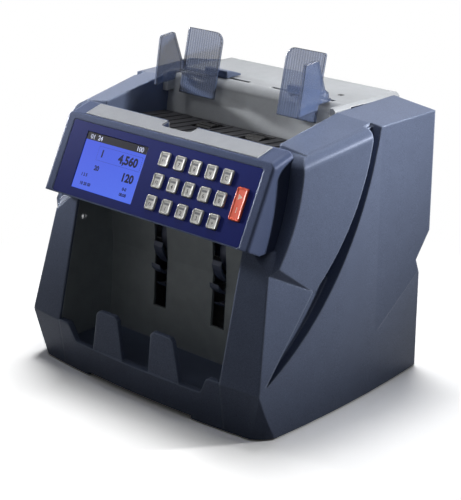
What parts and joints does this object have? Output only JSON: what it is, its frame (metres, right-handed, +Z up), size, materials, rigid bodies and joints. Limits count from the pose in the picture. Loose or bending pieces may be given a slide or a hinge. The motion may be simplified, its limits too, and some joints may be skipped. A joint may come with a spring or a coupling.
{
  "type": "banknote counting machine",
  "caption": "Desktop note counter with a top hopper and sliding clear guides, a sloped key panel with a display, and an open stacker pocket in front.",
  "frame": {"origin": "centre of the bounding box on the table under the feet", "axes": "+Z up, -Y towards the user (panel and stacker pocket), +X to the user's right"},
  "size_m": [0.2786, 0.224, 0.2799],
  "materials": {
    "housing": "satin blue-grey",
    "silver": "satin silver",
    "overlay": "semi-gloss printed film",
    "display": "lit blue",
    "key": "satin",
    "start_key": "satin",
    "board": "solder mask",
    "steel": "zinc plated",
    "rubber": "matte",
    "black": "fine grain",
    "pocket": "satin grey",
    "wheel": "flexible plastic",
    "guide": "smoky clear"
  },
  "bodies": {
    "housing": {"side_left": "housing", "side_right": "housing", "front_tray": "housing", "console": "housing", "overlay": "overlay", "display": "display", "key_board": "board", "hopper_strip": "silver", "path_plate": "steel", "feed_plate": "black", "top_cover": "silver", "rear_cover": "housing", "rack_bracket": "steel", "chassis": "steel", "pocket_back": "pocket", "wall_left": "pocket", "wall_right": "pocket", "wall_screws": "steel", "sensor_bar": "black", "motor": "steel", "drive_belt": "rubber", "main_board": "board", "power_supply": "steel", "inlet": "black", "switch_frame": "black", "rear_screws": "steel", "feet": "rubber"},
    "key_01_body": {"key_01": "key"},
    "key_02_body": {"key_02": "key"},
    "key_03_body": {"key_03": "key"},
    "key_04_body": {"key_04": "key"},
    "key_05_body": {"key_05": "key"},
    "key_06_body": {"key_06": "key"},
    "key_07_body": {"key_07": "key"},
    "key_08_body": {"key_08": "key"},
    "key_09_body": {"key_09": "key"},
    "key_10_body": {"key_10": "key"},
    "key_11_body": {"key_11": "key"},
    "key_12_body": {"key_12": "key"},
    "key_13_body": {"key_13": "key"},
    "key_14_body": {"key_14": "key"},
    "key_15_body": {"key_15": "key"},
    "start_key_body": {"start_key": "start_key"},
    "left_carriage": {"guide_left": "guide", "foot_left": "housing"},
    "right_carriage": {"guide_right": "guide", "foot_right": "housing"},
    "rack_gear": {"pinion": "black"},
    "feed": {"feed_shaft": "steel", "feed_rollers": "rubber"},
    "pickup": {"pickup_shaft": "steel", "pickup_rollers": "rubber"},
    "stacker": {"stacker_shaft": "steel", "stacker_wheels": "wheel"},
    "rotor": {"motor_pulley": "steel"},
    "rocker": {"power_rocker": "black"}
  },
  "joints": [
    {"name": "key_01_press", "type": "slide", "parent": "housing", "child": "key_01_body", "axis": [0, 0.891, -0.454], "range_m": [0, 0.0008], "stiffness_N_per_m": 800},
    {"name": "key_02_press", "type": "slide", "parent": "housing", "child": "key_02_body", "axis": [0, 0.891, -0.454], "range_m": [0, 0.0008], "stiffness_N_per_m": 800},
    {"name": "key_03_press", "type": "slide", "parent": "housing", "child": "key_03_body", "axis": [0, 0.891, -0.454], "range_m": [0, 0.0008], "stiffness_N_per_m": 800},
    {"name": "key_04_press", "type": "slide", "parent": "housing", "child": "key_04_body", "axis": [0, 0.891, -0.454], "range_m": [0, 0.0008], "stiffness_N_per_m": 800},
    {"name": "key_05_press", "type": "slide", "parent": "housing", "child": "key_05_body", "axis": [0, 0.891, -0.454], "range_m": [0, 0.0008], "stiffness_N_per_m": 800},
    {"name": "key_06_press", "type": "slide", "parent": "housing", "child": "key_06_body", "axis": [0, 0.891, -0.454], "range_m": [0, 0.0008], "stiffness_N_per_m": 800},
    {"name": "key_07_press", "type": "slide", "parent": "housing", "child": "key_07_body", "axis": [0, 0.891, -0.454], "range_m": [0, 0.0008], "stiffness_N_per_m": 800},
    {"name": "key_08_press", "type": "slide", "parent": "housing", "child": "key_08_body", "axis": [0, 0.891, -0.454], "range_m": [0, 0.0008], "stiffness_N_per_m": 800},
    {"name": "key_09_press", "type": "slide", "parent": "housing", "child": "key_09_body", "axis": [0, 0.891, -0.454], "range_m": [0, 0.0008], "stiffness_N_per_m": 800},
    {"name": "key_10_press", "type": "slide", "parent": "housing", "child": "key_10_body", "axis": [0, 0.891, -0.454], "range_m": [0, 0.0008], "stiffness_N_per_m": 800},
    {"name": "key_11_press", "type": "slide", "parent": "housing", "child": "key_11_body", "axis": [0, 0.891, -0.454], "range_m": [0, 0.0008], "stiffness_N_per_m": 800},
    {"name": "key_12_press", "type": "slide", "parent": "housing", "child": "key_12_body", "axis": [0, 0.891, -0.454], "range_m": [0, 0.0008], "stiffness_N_per_m": 800},
    {"name": "key_13_press", "type": "slide", "parent": "housing", "child": "key_13_body", "axis": [0, 0.891, -0.454], "range_m": [0, 0.0008], "stiffness_N_per_m": 800},
    {"name": "key_14_press", "type": "slide", "parent": "housing", "child": "key_14_body", "axis": [0, 0.891, -0.454], "range_m": [0, 0.0008], "stiffness_N_per_m": 800},
    {"name": "key_15_press", "type": "slide", "parent": "housing", "child": "key_15_body", "axis": [0, 0.891, -0.454], "range_m": [0, 0.0008], "stiffness_N_per_m": 800},
    {"name": "start_key_press", "type": "slide", "parent": "housing", "child": "start_key_body", "axis": [0, 0.891, -0.454], "range_m": [0, 0.0008], "stiffness_N_per_m": 800},
    {"name": "guide_left_slide", "type": "slide", "parent": "housing", "child": "left_carriage", "axis": [1, 0, 0], "range_m": [-0.011, 0.028]},
    {"name": "guide_right_slide", "type": "slide", "parent": "housing", "child": "right_carriage", "axis": [1, 0, 0], "range_m": [-0.028, 0.011]},
    {"name": "pinion_turn", "type": "hinge", "parent": "housing", "child": "rack_gear", "pos_m": [0, 0.054, 0.2285], "axis": [0, 0, 1], "range_deg": [-88, 223]},
    {"name": "feed_spin", "type": "hinge", "parent": "housing", "child": "feed", "pos_m": [0, -0.027, 0.184], "axis": [1, 0, 0], "continuous": true},
    {"name": "pickup_spin", "type": "hinge", "parent": "housing", "child": "pickup", "pos_m": [0, 0.009, 0.193], "axis": [1, 0, 0], "continuous": true},
    {"name": "stacker_spin", "type": "hinge", "parent": "housing", "child": "stacker", "pos_m": [0, -0.012, 0.096], "axis": [1, 0, 0], "continuous": true},
    {"name": "motor_spin", "type": "hinge", "parent": "housing", "child": "rotor", "pos_m": [0.1, 0.04, 0.062], "axis": [1, 0, 0], "continuous": true},
    {"name": "rocker_tilt", "type": "hinge", "parent": "housing", "child": "rocker", "pos_m": [0.024, 0.101, 0.042], "axis": [0, 0, 1], "range_deg": [0, 16]}
  ],
  "couplings": [
    {"joint": "guide_right_slide", "follows": "guide_left_slide", "ratio": -1},
    {"joint": "pinion_turn", "follows": "guide_left_slide", "rad_per_m": 138.89},
    {"joint": "pickup_spin", "follows": "feed_spin", "ratio": 1.1765},
    {"joint": "stacker_spin", "follows": "feed_spin", "ratio": 0.55556},
    {"joint": "motor_spin", "follows": "feed_spin", "ratio": 1.25}
  ]
}
